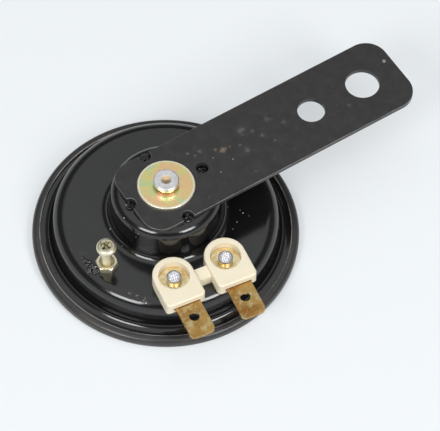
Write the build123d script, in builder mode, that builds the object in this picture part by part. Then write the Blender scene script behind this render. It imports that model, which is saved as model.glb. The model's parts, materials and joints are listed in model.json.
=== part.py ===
from build123d import *
import os
from math import cos, radians, sin

# A 12 volt disc horn with a flat mounting strip, lying on its front rim with its back up. Millimetres.
# The origin is the centre of the strip's main mounting hole, in the strip's outer face. +X runs
# along the strip, away from the horn, and +Z points out of the horn's back.
# Every height is above the plane of the front rim, and every radius is from the horn's own axis.

# Front ring: a pressed channel, folded round the rim and crimped down on the housing's flange
ring_diameter = 65.0
ring_sheet = 0.6
ring_bend = 1.2
crimp_width = 2.0
crimp_edge_round = 0.2
front_lip_width = 3.6
rim_clearance = 0.1
gasket_sheet = 0.3
gasket_width = 1.9

# Rear housing: a stepped pressing, with a wide shell that holds the breaker and a boss for the coil
housing_sheet = 0.8
flange_width = 3.1
shell_height = 10.2
shell_corner = 3.0
shell_foot = 1.7
shell_draft = 1.1
boss_radius = 13.3
boss_height = 20.1
boss_corner = 2.4
boss_root = 2.0
boss_draft = 0.6
pip_radius = 1.2
pip_height = 0.45

# Mounting strip, located on four pips of the boss and held by the riveted stud
strip_width = 21.3
strip_sheet = 1.1
strip_near_end = 10.0
strip_near_corner = 5.0
strip_far_corner = 5.5
strip_far_margin = 10.3
main_hole_reach = 56.5
main_hole_diameter = 8.4
second_hole_pitch = 15.0
second_hole_diameter = 6.8
locating_radius = 10.0
locating_hole_diameter = 3.1
locating_count = 4
locating_turn = -1.4
strip_edge_round = 0.15

# Stud, which is the magnet's core inside the boss and the rivet of the strip outside
core_radius = 4.0
neck_radius = 2.65
stud_head_radius = 3.1
stud_head_height = 2.1
stud_head_round = 0.35
stud_dimple_radius = 1.3
stud_dimple_depth = 0.25
washer_radius = 6.95
washer_sheet = 0.6
washer_edge_round = 0.2
fit_clearance = 0.1

# Coil, carried between the boss and the pole plate
bobbin_bore_clearance = 0.15
bobbin_wall = 0.8
bobbin_flange_radius = 10.2
bobbin_flange = 0.9
winding_margin = 0.5
cushion_sheet = 0.3
pole_plate_sheet = 1.2
pole_plate_clearance = 0.4
pole_hole_radius = 5.2

# Diaphragm and the set that swings with it
diaphragm_sheet = 0.4
diaphragm_rim_width = 3.0
diaphragm_step_run = 1.8
diaphragm_step = 1.05
diaphragm_cone_radius = 14.0
diaphragm_flat_radius = 10.5
diaphragm_rise = 1.5
diaphragm_bend = 0.8
armature_radius = 3.9
armature_top_height = 11.5
collar_radius = 7.5
shank_radius = 2.0
shank_head_radius = 3.0
shank_head_height = 0.7
pusher_sheet = 0.8
pusher_radius = 7.0
pole_gap = 0.8
spacer_radius = 6.0
spacer_sheet = 1.0
front_washer_radius = 4.2
front_washer_sheet = 0.6
disc_sheet = 0.8
disc_rim_gap = 3.9
disc_hub_radius = 8.0
disc_cone_radius = 12.0
disc_bend = 2.0
disc_recess = 0.5

# Contact breaker, riveted under the pole plate
breaker_angle = 150.0
breaker_radius = 20.0
breaker_rivet_pitch = 3.6
breaker_pad_length = 6.6
breaker_width = 5.0
breaker_rivet_radius = 0.8
breaker_rivet_head_radius = 1.4
breaker_rivet_head_height = 0.4
breaker_insulator_sheet = 0.5
breaker_spacer_sheet = 1.0
breaker_clamp_sheet = 0.4
moving_arm_sheet = 0.3
moving_arm_tip_width = 3.2
moving_arm_tip_gap = 1.5
fixed_arm_sheet = 0.4
contact_radius = 12.8
facing_radius = 1.3
lost_motion = 0.2
ear_width = 4.0
arm_hole_clearance = 0.45

# Adjusting screw with its lock nut
adjuster_radius = 20.8
adjuster_angle = 195.3
screw_radius = 1.15
screw_head_radius = 2.4
screw_head_height = 1.1
screw_head_round = 0.75
screw_stand = 5.85
screw_slot_width = 0.6
screw_slot_length = 2.6
screw_slot_depth = 0.9
screw_slot_taper = 18.0
screw_slot_turn = 20.0
nut_across_flats = 4.7
nut_height = 1.6
nut_turn = 24.0
nut_sink = 0.7
nut_corner_cut = 0.3
nut_corner_drop = 0.2
pad_radius = 1.7
pad_height = 0.8

# Terminals
terminal_angle = -98.0
terminal_radius = 19.15
terminal_pitch = 13.4
block_lobe_radius = 5.0
block_reach = 7.95
block_height = 3.7
block_corner = 1.2
block_edge_round = 0.4
block_floor = 1.0
block_toe = 0.5
block_root_relief = 0.4
recess_radius = 3.75
recess_shift = 0.4
link_width = 3.2
link_height = 2.9
link_shift = 0.5
blade_width = 6.3
blade_sheet = 0.8
blade_length = 9.0
blade_corner = 1.4
blade_hole_reach = 3.6
blade_hole_radius = 1.25
blade_eye_clearance = 0.1
blade_slot_clearance = 0.25
blade_turns = {"left": 1.2, "right": 0.0}
terminal_rivet_radius = 1.3
terminal_rivet_head_radius = 1.6
terminal_rivet_head_height = 1.5
terminal_rivet_foot_radius = 2.5
terminal_rivet_foot_height = 0.9
insulator_sheet = 1.0
insulator_collar = 0.8
insulator_eye_radius = 3.2
insulator_link_width = 4.0
lug_sheet = 0.5
lug_eye_radius = 2.8
lug_tail_width = 2.4
lug_tail_length = 5.2
pole_plate_cut_margin = 0.6

# The rim's stack, from the front lip up to the crimp
ring_radius = ring_diameter / 2
clamped_radius = ring_radius - ring_bend - rim_clearance
gasket_inner_radius = clamped_radius - gasket_width
shell_base_radius = clamped_radius - flange_width
shell_radius = shell_base_radius - shell_draft
diaphragm_base = ring_sheet + gasket_sheet
rear_gasket_base = diaphragm_base + diaphragm_sheet
flange_base = rear_gasket_base + gasket_sheet
flange_top = flange_base + housing_sheet
crimp_height = flange_top + ring_sheet

# The stack on the stud, from the boss up to the washer
strip_top = boss_height + strip_sheet
washer_top = strip_top + washer_sheet
boss_base_radius = boss_radius + boss_draft
boss_ceiling = boss_height - housing_sheet
shell_ceiling = shell_height - housing_sheet
neck_hole_radius = neck_radius + fit_clearance

# The breaker hangs from the pole plate, and the armature's collar comes up to it
pole_plate_radius = shell_radius - shell_corner - pole_plate_clearance
pole_plate_base = shell_ceiling - pole_plate_sheet
moving_arm_base = pole_plate_base - breaker_insulator_sheet - moving_arm_sheet
fixed_arm_top = moving_arm_base - breaker_spacer_sheet
fixed_arm_base = fixed_arm_top - fixed_arm_sheet
lower_insulator_base = fixed_arm_base - breaker_insulator_sheet
clamp_base = lower_insulator_base - breaker_clamp_sheet
facing_height = breaker_spacer_sheet / 2
pusher_base = moving_arm_base - lost_motion - pusher_sheet
screw_tip_height = fixed_arm_top + pad_height

# The swinging set, stacked on both sides of the diaphragm's centre
diaphragm_flat_base = diaphragm_base + diaphragm_step
diaphragm_centre_base = diaphragm_flat_base + diaphragm_rise
collar_base = diaphragm_centre_base + diaphragm_sheet
spacer_base = diaphragm_centre_base - spacer_sheet
disc_hub_base = spacer_base - disc_sheet
front_washer_base = disc_hub_base - front_washer_sheet
shank_hole_radius = shank_radius + fit_clearance
diaphragm_outer_bend_radius = clamped_radius - diaphragm_rim_width
diaphragm_inner_bend_radius = diaphragm_outer_bend_radius - diaphragm_step_run
disc_radius = ring_radius - front_lip_width - disc_rim_gap

# The terminals' stack, above and below the shell's flat
block_top = shell_height + block_height
blade_base = shell_height + block_floor
blade_top = blade_base + blade_sheet
insulator_base = shell_ceiling - insulator_sheet
lug_base = insulator_base - lug_sheet
rivet_seat_radius = terminal_radius + recess_shift
terminal_sides = {"left": -terminal_pitch / 2, "right": terminal_pitch / 2}
collar_hole_radius = terminal_rivet_radius + fit_clearance + insulator_collar

# The horn's own axis and its front plane, seen from the origin
horn_x = -main_hole_reach
rim_z = -strip_top
horn_axis = Axis((horn_x, 0, rim_z), (0, 0, 1))
half_section = Plane(origin=(horn_x, 0, rim_z), x_dir=(1, 0, 0), z_dir=(0, -1, 0))


def level(height, angle=0.0):
    """Plane square to the horn's axis at a height, its X axis turned to an angle round the horn."""
    turned = (cos(radians(angle)), sin(radians(angle)), 0)
    return Plane(origin=(horn_x, 0, rim_z + height), x_dir=turned, z_dir=(0, 0, 1))


def pressed_section(path, bends, sheet, side):
    """Section of a pressed sheet: one face of it as a bent line, thickened to a side."""
    with BuildSketch() as section:
        with BuildLine():
            FilletPolyline(*path, radius=bends)
            offset(amount=sheet, side=side)
        make_face()
    return section.sketch


def washer(base, sheet, outer_radius, inner_radius):
    """Flat ring on the horn's axis."""
    with BuildPart() as ring:
        with BuildSketch(level(base)):
            Circle(outer_radius)
            Circle(inner_radius, mode=Mode.SUBTRACT)
        extrude(amount=sheet)
    return ring.part


def write(part, name):
    """Label a finished piece and write it."""
    part.label = name
    export_step(part, f"parts/{name}.step")


os.makedirs("parts", exist_ok=True)

# ---------------------------------------------------------------- rim

with BuildPart() as front_ring:
    with BuildSketch(half_section):
        ring_path = [
            (ring_radius - front_lip_width, 0),
            (ring_radius, 0),
            (ring_radius, crimp_height),
            (ring_radius - crimp_width, crimp_height),
        ]
        add(pressed_section(ring_path, ring_bend, ring_sheet, Side.LEFT))
    revolve(axis=horn_axis)
    crimp_edges = edges().filter_by(GeomType.CIRCLE).group_by(Axis.Z)[-1]
    fillet(crimp_edges.sort_by(SortBy.RADIUS)[0], crimp_edge_round)
write(front_ring.part, "front_ring")

write(washer(ring_sheet, gasket_sheet, clamped_radius, gasket_inner_radius), "gasket_front")
write(washer(rear_gasket_base, gasket_sheet, clamped_radius, gasket_inner_radius), "gasket_rear")

# ---------------------------------------------------------------- rear housing

with BuildPart() as rear_housing:
    with BuildSketch(half_section):
        housing_path = [
            (clamped_radius, flange_top),
            (shell_base_radius, flange_top),
            (shell_radius, shell_height),
            (boss_base_radius, shell_height),
            (boss_radius, boss_height),
            (neck_hole_radius, boss_height),
        ]
        housing_bends = [shell_foot, shell_corner, boss_root, boss_corner]
        add(pressed_section(housing_path, housing_bends, housing_sheet, Side.LEFT))
    revolve(axis=horn_axis)
    # Pips on the boss, which key the strip
    with BuildSketch(level(boss_height - housing_sheet / 2)):
        with PolarLocations(locating_radius, locating_count, start_angle=locating_turn):
            Circle(pip_radius)
    extrude(amount=pip_height + housing_sheet / 2)
    fillet(faces().sort_by(Axis.Z)[-locating_count:].edges(), pip_height / 2)
    # Holes in the shell's flat for the terminal rivets and the adjusting screw
    with BuildSketch(level(shell_height, terminal_angle)):
        with Locations(*[(rivet_seat_radius, offset_across) for offset_across in terminal_sides.values()]):
            Circle(collar_hole_radius + fit_clearance)
    with BuildSketch(level(shell_height, adjuster_angle)):
        with Locations((adjuster_radius, 0)):
            Circle(screw_radius + fit_clearance)
    extrude(amount=-housing_sheet, mode=Mode.SUBTRACT)
write(rear_housing.part, "rear_housing")

# ---------------------------------------------------------------- mounting strip and stud

strip_length = strip_near_end + main_hole_reach + strip_far_margin
with BuildPart() as mounting_bracket:
    with BuildSketch(level(boss_height)) as blank:
        with Locations((strip_length / 2 - strip_near_end, 0)):
            Rectangle(strip_length, strip_width)
        fillet(blank.vertices().group_by(Axis.X)[-1], strip_far_corner)
        fillet(blank.vertices().group_by(Axis.X)[0], strip_near_corner)
        with Locations((main_hole_reach, 0)):
            Circle(main_hole_diameter / 2, mode=Mode.SUBTRACT)
        with Locations((main_hole_reach - second_hole_pitch, 0)):
            Circle(second_hole_diameter / 2, mode=Mode.SUBTRACT)
        Circle(neck_hole_radius, mode=Mode.SUBTRACT)
        with PolarLocations(locating_radius, locating_count, start_angle=locating_turn):
            Circle(locating_hole_diameter / 2, mode=Mode.SUBTRACT)
    extrude(amount=strip_sheet)
    # The sheared outline is rolled over on the outer face
    fillet(faces().sort_by(Axis.Z)[-1].outer_wire().edges(), strip_edge_round)
write(mounting_bracket.part, "mounting_bracket")

with BuildPart() as stud_washer:
    add(washer(strip_top, washer_sheet, washer_radius, neck_hole_radius))
    washer_rims = edges().filter_by(GeomType.CIRCLE).group_by(Axis.Z)[-1]
    fillet(washer_rims.sort_by(SortBy.RADIUS)[-1], washer_edge_round)
write(stud_washer.part, "stud_washer")

core_face_height = armature_top_height + pole_gap
with BuildPart() as pole_core:
    with BuildSketch(half_section):
        with BuildLine():
            Polyline(
                (0, core_face_height),
                (core_radius, core_face_height),
                (core_radius, boss_ceiling),
                (neck_radius, boss_ceiling),
                (neck_radius, washer_top),
                (stud_head_radius, washer_top + stud_head_height / 2),
                (stud_head_radius, washer_top + stud_head_height),
                (stud_dimple_radius, washer_top + stud_head_height),
                (0, washer_top + stud_head_height - stud_dimple_depth),
                close=True,
            )
        make_face()
    revolve(axis=horn_axis)
    stud_rim = edges().filter_by(GeomType.CIRCLE).group_by(Axis.Z)[-1].sort_by(SortBy.RADIUS)[-1]
    fillet(stud_rim, stud_head_round)
write(pole_core.part, "pole_core")

# ---------------------------------------------------------------- magnet

bobbin_base = shell_ceiling
bobbin_top = boss_ceiling - cushion_sheet
bobbin_bore_radius = core_radius + bobbin_bore_clearance
bobbin_tube_radius = bobbin_bore_radius + bobbin_wall
with BuildPart() as coil_bobbin:
    with BuildSketch(half_section):
        with BuildLine():
            Polyline(
                (bobbin_bore_radius, bobbin_base),
                (bobbin_flange_radius, bobbin_base),
                (bobbin_flange_radius, bobbin_base + bobbin_flange),
                (bobbin_tube_radius, bobbin_base + bobbin_flange),
                (bobbin_tube_radius, bobbin_top - bobbin_flange),
                (bobbin_flange_radius, bobbin_top - bobbin_flange),
                (bobbin_flange_radius, bobbin_top),
                (bobbin_bore_radius, bobbin_top),
                close=True,
            )
        make_face()
    revolve(axis=horn_axis)
write(coil_bobbin.part, "coil_bobbin")

winding_height = bobbin_top - bobbin_base - 2 * bobbin_flange
winding_radius = bobbin_flange_radius - winding_margin
coil_winding = washer(bobbin_base + bobbin_flange, winding_height, winding_radius, bobbin_tube_radius)
write(coil_winding, "coil_winding")
write(washer(bobbin_top, cushion_sheet, bobbin_flange_radius, bobbin_bore_radius), "coil_cushion")

breaker_rivet_places = [(breaker_radius + side * breaker_rivet_pitch / 2, 0) for side in (-1, 1)]
with BuildPart() as pole_plate:
    with BuildSketch(level(pole_plate_base)):
        Circle(pole_plate_radius)
        Circle(pole_hole_radius, mode=Mode.SUBTRACT)
    extrude(amount=pole_plate_sheet)
    # Tapped hole of the adjusting screw and room round the terminal rivets
    with BuildSketch(level(pole_plate_base, adjuster_angle)):
        with Locations((adjuster_radius, 0)):
            Circle(screw_radius + fit_clearance / 2)
    extrude(amount=pole_plate_sheet, mode=Mode.SUBTRACT)
    with BuildSketch(level(pole_plate_base, terminal_angle)):
        cut_near = rivet_seat_radius - lug_tail_length - pole_plate_cut_margin
        cut_width = terminal_pitch + 2 * insulator_eye_radius + 2 * pole_plate_cut_margin
        with Locations((cut_near + pole_plate_radius / 2, 0)):
            RectangleRounded(pole_plate_radius, cut_width, pole_plate_cut_margin)
    extrude(amount=pole_plate_sheet, mode=Mode.SUBTRACT)
    # Countersunk seats of the breaker's rivets, flush with the upper face
    with Locations(level(shell_ceiling, breaker_angle)):
        with Locations(*breaker_rivet_places):
            CounterSinkHole(breaker_rivet_radius + fit_clearance / 2, breaker_rivet_head_radius)
write(pole_plate.part, "pole_plate")

# ---------------------------------------------------------------- contact breaker

pad_outer_end = breaker_radius + breaker_pad_length / 2
arm_hole_radius = breaker_rivet_radius + arm_hole_clearance


def breaker_layer(base, sheet, hole_radius):
    """One plate of the riveted stack, with a hole for each rivet."""
    with BuildPart() as layer:
        with BuildSketch(level(base, breaker_angle)):
            with Locations((breaker_radius, 0)):
                Rectangle(breaker_pad_length, breaker_width)
            with Locations(*breaker_rivet_places):
                Circle(hole_radius, mode=Mode.SUBTRACT)
        extrude(amount=sheet)
    return layer.part


rivet_hole_radius = breaker_rivet_radius + fit_clearance / 2
moving_arm_top = moving_arm_base + moving_arm_sheet
upper_insulator = breaker_layer(moving_arm_top, breaker_insulator_sheet, rivet_hole_radius)
write(upper_insulator, "breaker_insulator_upper")
write(breaker_layer(fixed_arm_top, breaker_spacer_sheet, rivet_hole_radius), "breaker_insulator_middle")
lower_insulator = breaker_layer(lower_insulator_base, breaker_insulator_sheet, rivet_hole_radius)
write(lower_insulator, "breaker_insulator_lower")
write(breaker_layer(clamp_base, breaker_clamp_sheet, rivet_hole_radius), "breaker_clamp_plate")

moving_arm_tip = armature_radius + moving_arm_tip_gap
with BuildPart() as moving_contact_arm:
    with BuildSketch(level(moving_arm_base, breaker_angle)):
        with BuildLine():
            Polyline(
                (moving_arm_tip, -moving_arm_tip_width / 2),
                (contact_radius - facing_radius, -breaker_width / 2),
                (pad_outer_end, -breaker_width / 2),
                (pad_outer_end, breaker_width / 2),
                (contact_radius - facing_radius, breaker_width / 2),
                (moving_arm_tip, moving_arm_tip_width / 2),
                close=True,
            )
        make_face()
        with Locations(*breaker_rivet_places):
            Circle(arm_hole_radius, mode=Mode.SUBTRACT)
    extrude(amount=moving_arm_sheet)
    # Welded contact facing on the underside
    with BuildSketch(level(moving_arm_base, breaker_angle)):
        with Locations((contact_radius, 0)):
            Circle(facing_radius)
    extrude(amount=-facing_height)
write(moving_contact_arm.part, "moving_contact_arm")

ear_x = adjuster_radius * cos(radians(adjuster_angle - breaker_angle))
ear_y = adjuster_radius * sin(radians(adjuster_angle - breaker_angle))
fixed_arm_tip = min(contact_radius - facing_radius, ear_x - ear_width / 2)
with BuildPart() as fixed_contact_arm:
    with BuildSketch(level(fixed_arm_base, breaker_angle)):
        with Locations(((fixed_arm_tip + pad_outer_end) / 2, 0)):
            Rectangle(pad_outer_end - fixed_arm_tip, breaker_width)
        # Ear that runs out under the adjusting screw
        with Locations((ear_x, ear_y / 2)):
            Rectangle(ear_width, ear_y)
        with Locations((ear_x, ear_y)):
            Circle(ear_width / 2)
        with Locations(*breaker_rivet_places):
            Circle(arm_hole_radius, mode=Mode.SUBTRACT)
    extrude(amount=fixed_arm_sheet)
    with BuildSketch(level(fixed_arm_top, breaker_angle)):
        with Locations((contact_radius, 0)):
            Circle(facing_radius)
    extrude(amount=facing_height)
write(fixed_contact_arm.part, "fixed_contact_arm")

with BuildPart() as adjuster_pad:
    with BuildSketch(level(fixed_arm_top, adjuster_angle)):
        with Locations((adjuster_radius, 0)):
            Circle(pad_radius)
    extrude(amount=pad_height)
write(adjuster_pad.part, "adjuster_pad")

rivet_sink = breaker_rivet_head_radius - breaker_rivet_radius
for name, place in zip(("inner", "outer"), breaker_rivet_places):
    foot = level(0, breaker_angle).from_local_coords(Vector(*place))
    with BuildPart() as breaker_rivet:
        with BuildSketch(Plane(origin=foot, x_dir=(1, 0, 0), z_dir=(0, -1, 0))):
            with BuildLine():
                Polyline(
                    (0, shell_ceiling),
                    (breaker_rivet_head_radius, shell_ceiling),
                    (breaker_rivet_radius, shell_ceiling - rivet_sink),
                    (breaker_rivet_radius, clamp_base),
                    (breaker_rivet_head_radius, clamp_base),
                    (breaker_rivet_head_radius, clamp_base - breaker_rivet_head_height),
                    (0, clamp_base - breaker_rivet_head_height),
                    close=True,
                )
            make_face()
        revolve(axis=Axis(foot, (0, 0, 1)))
    write(breaker_rivet.part, f"breaker_rivet_{name}")

# ---------------------------------------------------------------- diaphragm and swinging set

with BuildPart() as diaphragm:
    with BuildSketch(half_section):
        diaphragm_path = [
            (clamped_radius, diaphragm_base),
            (diaphragm_outer_bend_radius, diaphragm_base),
            (diaphragm_inner_bend_radius, diaphragm_flat_base),
            (diaphragm_cone_radius, diaphragm_flat_base),
            (diaphragm_flat_radius, diaphragm_centre_base),
            (shank_hole_radius, diaphragm_centre_base),
        ]
        add(pressed_section(diaphragm_path, diaphragm_bend, diaphragm_sheet, Side.RIGHT))
    revolve(axis=horn_axis)
write(diaphragm.part, "diaphragm")

with BuildPart() as armature:
    with BuildSketch(half_section):
        with BuildLine():
            Polyline(
                (0, front_washer_base - shank_head_height),
                (shank_head_radius, front_washer_base - shank_head_height),
                (shank_head_radius, front_washer_base),
                (shank_radius, front_washer_base),
                (shank_radius, collar_base),
                (collar_radius, collar_base),
                (collar_radius, pusher_base),
                (armature_radius, pusher_base),
                (armature_radius, armature_top_height),
                (0, armature_top_height),
                close=True,
            )
        make_face()
    revolve(axis=horn_axis)
    fillet(edges().group_by(Axis.Z)[0], shank_head_height / 2)
write(armature.part, "armature")

write(washer(pusher_base, pusher_sheet, pusher_radius, armature_radius + fit_clearance), "armature_pusher")
write(washer(spacer_base, spacer_sheet, spacer_radius, shank_hole_radius), "tone_disc_spacer")
front_washer = washer(front_washer_base, front_washer_sheet, front_washer_radius, shank_hole_radius)
write(front_washer, "tone_disc_washer")

with BuildPart() as tone_disc:
    with BuildSketch(half_section):
        disc_path = [
            (shank_hole_radius, disc_hub_base),
            (disc_hub_radius, disc_hub_base),
            (disc_cone_radius, disc_recess),
            (disc_radius, disc_recess),
        ]
        add(pressed_section(disc_path, disc_bend, disc_sheet, Side.LEFT))
    revolve(axis=horn_axis)
write(tone_disc.part, "tone_disc")

# ---------------------------------------------------------------- adjusting screw

screw_place = level(0, adjuster_angle).from_local_coords(Vector(adjuster_radius, 0, 0))
nut_top = shell_height + nut_height
screw_head_base = nut_top + screw_stand
screw_head_top = screw_head_base + screw_head_height
nut_corner_radius = nut_across_flats / 2 / cos(radians(30))


def screw_level(height):
    """Plane square to the adjusting screw at a height above the rim, centred on the screw."""
    return Plane(origin=screw_place + Vector(0, 0, height), x_dir=(1, 0, 0), z_dir=(0, 0, 1))


with BuildPart() as adjusting_screw:
    with BuildSketch(screw_level(screw_tip_height)):
        Circle(screw_radius)
    extrude(amount=screw_head_base - screw_tip_height)
    with BuildSketch(screw_level(screw_head_base)):
        Circle(screw_head_radius)
    extrude(amount=screw_head_height)
    fillet(edges().group_by(Axis.Z)[-1], screw_head_round)
    # Cross recess with sloping ends
    for slot_turn in (screw_slot_turn, screw_slot_turn + 90):
        with BuildSketch(screw_level(screw_head_top)):
            Rectangle(screw_slot_length, screw_slot_width, rotation=slot_turn)
        extrude(amount=-screw_slot_depth, taper=screw_slot_taper / 2, mode=Mode.SUBTRACT)
write(adjusting_screw.part, "adjusting_screw")

with BuildPart() as adjusting_lock_nut:
    with BuildSketch(screw_level(shell_height)):
        RegularPolygon(nut_across_flats / 2, 6, major_radius=False, rotation=nut_turn)
        Circle(screw_radius + fit_clearance / 2, mode=Mode.SUBTRACT)
    extrude(amount=nut_height)
    nut_mouth = edges().filter_by(GeomType.CIRCLE).sort_by(Axis.Z)[-1]
    chamfer(nut_mouth, nut_sink)
    # Turned chamfer on the six corners
    with BuildSketch(Plane(origin=screw_place, x_dir=(1, 0, 0), z_dir=(0, -1, 0))):
        with BuildLine():
            Polyline(
                (0, shell_height),
                (nut_corner_radius, shell_height),
                (nut_corner_radius, nut_top - nut_corner_drop),
                (nut_corner_radius - nut_corner_cut, nut_top),
                (0, nut_top),
                close=True,
            )
        make_face()
    revolve(axis=Axis(screw_place, (0, 0, 1)), mode=Mode.INTERSECT)
write(adjusting_lock_nut.part, "adjusting_lock_nut")

# ---------------------------------------------------------------- terminals

front_face = terminal_radius + block_reach
terminal_section = Plane(
    origin=(horn_x, 0, rim_z),
    x_dir=level(0, terminal_angle).x_dir,
    z_dir=-level(0, terminal_angle).y_dir,
)
with BuildPart() as terminal_block:
    for across in terminal_sides.values():
        with BuildSketch(level(shell_height, terminal_angle)) as lobe:
            with Locations(((terminal_radius + front_face) / 2, across)):
                Rectangle(block_reach, 2 * block_lobe_radius)
            fillet(lobe.vertices().group_by(Axis.X)[-1], block_corner)
            with Locations((terminal_radius, across)):
                Circle(block_lobe_radius)
        extrude(amount=block_height)
    with BuildSketch(level(shell_height, terminal_angle)):
        with Locations((terminal_radius + link_shift + link_width / 2, 0)):
            Rectangle(link_width, terminal_pitch - block_lobe_radius)
    extrude(amount=link_height)
    fillet(faces().group_by(Axis.Z)[-1].edges(), block_edge_round)
    for across in terminal_sides.values():
        # Round well down to the floor, blade slot out through the front, and rivet hole
        with BuildSketch(level(blade_base, terminal_angle)):
            with Locations((rivet_seat_radius, across)):
                Circle(recess_radius)
        extrude(amount=block_height, mode=Mode.SUBTRACT)
        with BuildSketch(level(blade_base, terminal_angle)):
            with Locations(((rivet_seat_radius + front_face) / 2, across)):
                Rectangle(front_face - rivet_seat_radius, blade_width + 2 * blade_slot_clearance)
        extrude(amount=blade_sheet + blade_slot_clearance, mode=Mode.SUBTRACT)
        with BuildSketch(level(shell_height, terminal_angle)):
            with Locations((rivet_seat_radius, across)):
                Circle(terminal_rivet_radius + fit_clearance)
        extrude(amount=block_floor, mode=Mode.SUBTRACT)
    # Relief under the lobes' backs, over the rounded root of the boss
    with BuildSketch(level(shell_height)):
        Circle(boss_base_radius + boss_root)
    extrude(amount=block_root_relief, mode=Mode.SUBTRACT)
    # Chamfer under the lobes' fronts, where they overhang the shell's corner
    with BuildSketch(terminal_section):
        with BuildLine():
            Polyline(
                (front_face, shell_height),
                (front_face, shell_height + block_toe),
                (front_face - block_toe, shell_height),
                close=True,
            )
        make_face()
    extrude(amount=terminal_pitch, both=True, mode=Mode.SUBTRACT)
write(terminal_block.part, "terminal_block")

with BuildPart() as terminal_insulator:
    with BuildSketch(level(insulator_base, terminal_angle)):
        with Locations(*[(rivet_seat_radius, across) for across in terminal_sides.values()]):
            Circle(insulator_eye_radius)
        with Locations((rivet_seat_radius, 0)):
            Rectangle(insulator_link_width, terminal_pitch)
    extrude(amount=insulator_sheet)
    # Collars that line the shell's rivet holes
    with BuildSketch(level(shell_ceiling, terminal_angle)):
        with Locations(*[(rivet_seat_radius, across) for across in terminal_sides.values()]):
            Circle(collar_hole_radius)
    extrude(amount=housing_sheet)
    with BuildSketch(level(insulator_base, terminal_angle)):
        with Locations(*[(rivet_seat_radius, across) for across in terminal_sides.values()]):
            Circle(terminal_rivet_radius + fit_clearance)
    extrude(amount=insulator_sheet + housing_sheet, mode=Mode.SUBTRACT)
write(terminal_insulator.part, "terminal_insulator")

blade_reach = front_face + blade_length - rivet_seat_radius
blade_hole_place = front_face + blade_hole_reach - rivet_seat_radius
for side, across in terminal_sides.items():
    seat = level(0, terminal_angle).from_local_coords(Vector(rivet_seat_radius, across, 0))
    # The blade may sit a little turned about its rivet, within its slot
    blade_angle = terminal_angle + blade_turns[side]
    blade_direction = (cos(radians(blade_angle)), sin(radians(blade_angle)), 0)
    blade_plane = Plane(origin=seat + Vector(0, 0, blade_base), x_dir=blade_direction, z_dir=(0, 0, 1))
    with BuildPart() as terminal_blade:
        with BuildSketch(blade_plane) as blade_outline:
            with Locations((blade_reach / 2, 0)):
                Rectangle(blade_reach, blade_width)
            fillet(blade_outline.vertices().group_by(Axis.X)[-1], blade_corner)
            Circle(recess_radius - blade_eye_clearance)
            Circle(terminal_rivet_radius + fit_clearance / 2, mode=Mode.SUBTRACT)
            with Locations((blade_hole_place, 0)):
                Circle(blade_hole_radius, mode=Mode.SUBTRACT)
        extrude(amount=blade_sheet)
    write(terminal_blade.part, f"terminal_blade_{side}")

    with BuildPart() as terminal_lug:
        with BuildSketch(level(lug_base, terminal_angle)):
            with Locations((rivet_seat_radius - lug_tail_length / 2, across)):
                Rectangle(lug_tail_length, lug_tail_width)
            with Locations((rivet_seat_radius, across)):
                Circle(lug_eye_radius)
                Circle(terminal_rivet_radius + fit_clearance / 2, mode=Mode.SUBTRACT)
        extrude(amount=lug_sheet)
    write(terminal_lug.part, f"terminal_lug_{side}")

    with BuildPart() as terminal_rivet:
        with BuildSketch(Plane(origin=seat, x_dir=(1, 0, 0), z_dir=(0, -1, 0))):
            with BuildLine():
                Polyline(
                    (0, lug_base - terminal_rivet_foot_height),
                    (terminal_rivet_foot_radius, lug_base - terminal_rivet_foot_height),
                    (terminal_rivet_foot_radius, lug_base),
                    (terminal_rivet_radius, lug_base),
                    (terminal_rivet_radius, blade_top),
                    (terminal_rivet_head_radius, blade_top),
                    (terminal_rivet_head_radius, blade_top + terminal_rivet_head_height),
                    (0, blade_top + terminal_rivet_head_height),
                    close=True,
                )
            make_face()
        revolve(axis=Axis(seat, (0, 0, 1)))
    write(terminal_rivet.part, f"terminal_rivet_{side}")
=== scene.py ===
"""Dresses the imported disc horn: paint, plating, brass, moulded plastic and the small loose details."""

import json
import logging
import math
from dataclasses import dataclass, field, replace
from enum import Enum
from functools import reduce

import bmesh
import bpy
from mathutils import Matrix, Vector, noise

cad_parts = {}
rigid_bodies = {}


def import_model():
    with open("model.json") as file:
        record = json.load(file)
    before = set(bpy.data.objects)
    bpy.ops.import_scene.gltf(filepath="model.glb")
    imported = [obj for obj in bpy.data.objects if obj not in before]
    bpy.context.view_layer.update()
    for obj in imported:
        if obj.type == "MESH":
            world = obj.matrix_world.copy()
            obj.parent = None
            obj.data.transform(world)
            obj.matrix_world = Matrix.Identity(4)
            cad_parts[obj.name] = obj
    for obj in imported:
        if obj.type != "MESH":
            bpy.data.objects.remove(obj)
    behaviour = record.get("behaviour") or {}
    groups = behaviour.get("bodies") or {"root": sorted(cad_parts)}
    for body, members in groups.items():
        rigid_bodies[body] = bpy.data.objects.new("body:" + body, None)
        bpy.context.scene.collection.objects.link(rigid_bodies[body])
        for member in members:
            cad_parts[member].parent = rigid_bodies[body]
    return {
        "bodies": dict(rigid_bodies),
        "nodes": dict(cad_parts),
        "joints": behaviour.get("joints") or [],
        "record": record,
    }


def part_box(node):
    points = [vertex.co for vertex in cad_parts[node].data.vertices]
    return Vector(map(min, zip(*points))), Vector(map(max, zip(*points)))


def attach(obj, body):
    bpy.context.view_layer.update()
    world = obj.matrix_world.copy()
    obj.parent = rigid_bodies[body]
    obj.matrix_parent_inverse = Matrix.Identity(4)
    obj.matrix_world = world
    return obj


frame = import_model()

MM = 0.001
HORN_BODY = "horn_body"
log = logging.getLogger("horn")

Triple = tuple[float, float, float]
Colour = Triple
Stops = tuple[tuple[float, Colour], ...]
Socket = bpy.types.NodeSocket
Tint = Socket | Colour

EVEN: Triple = (1.0, 1.0, 1.0)
FLAT: Triple = (1.0, 1.0, 0.0)
BLACK: Colour = (0.0, 0.0, 0.0)


# ---- shader building


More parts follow.
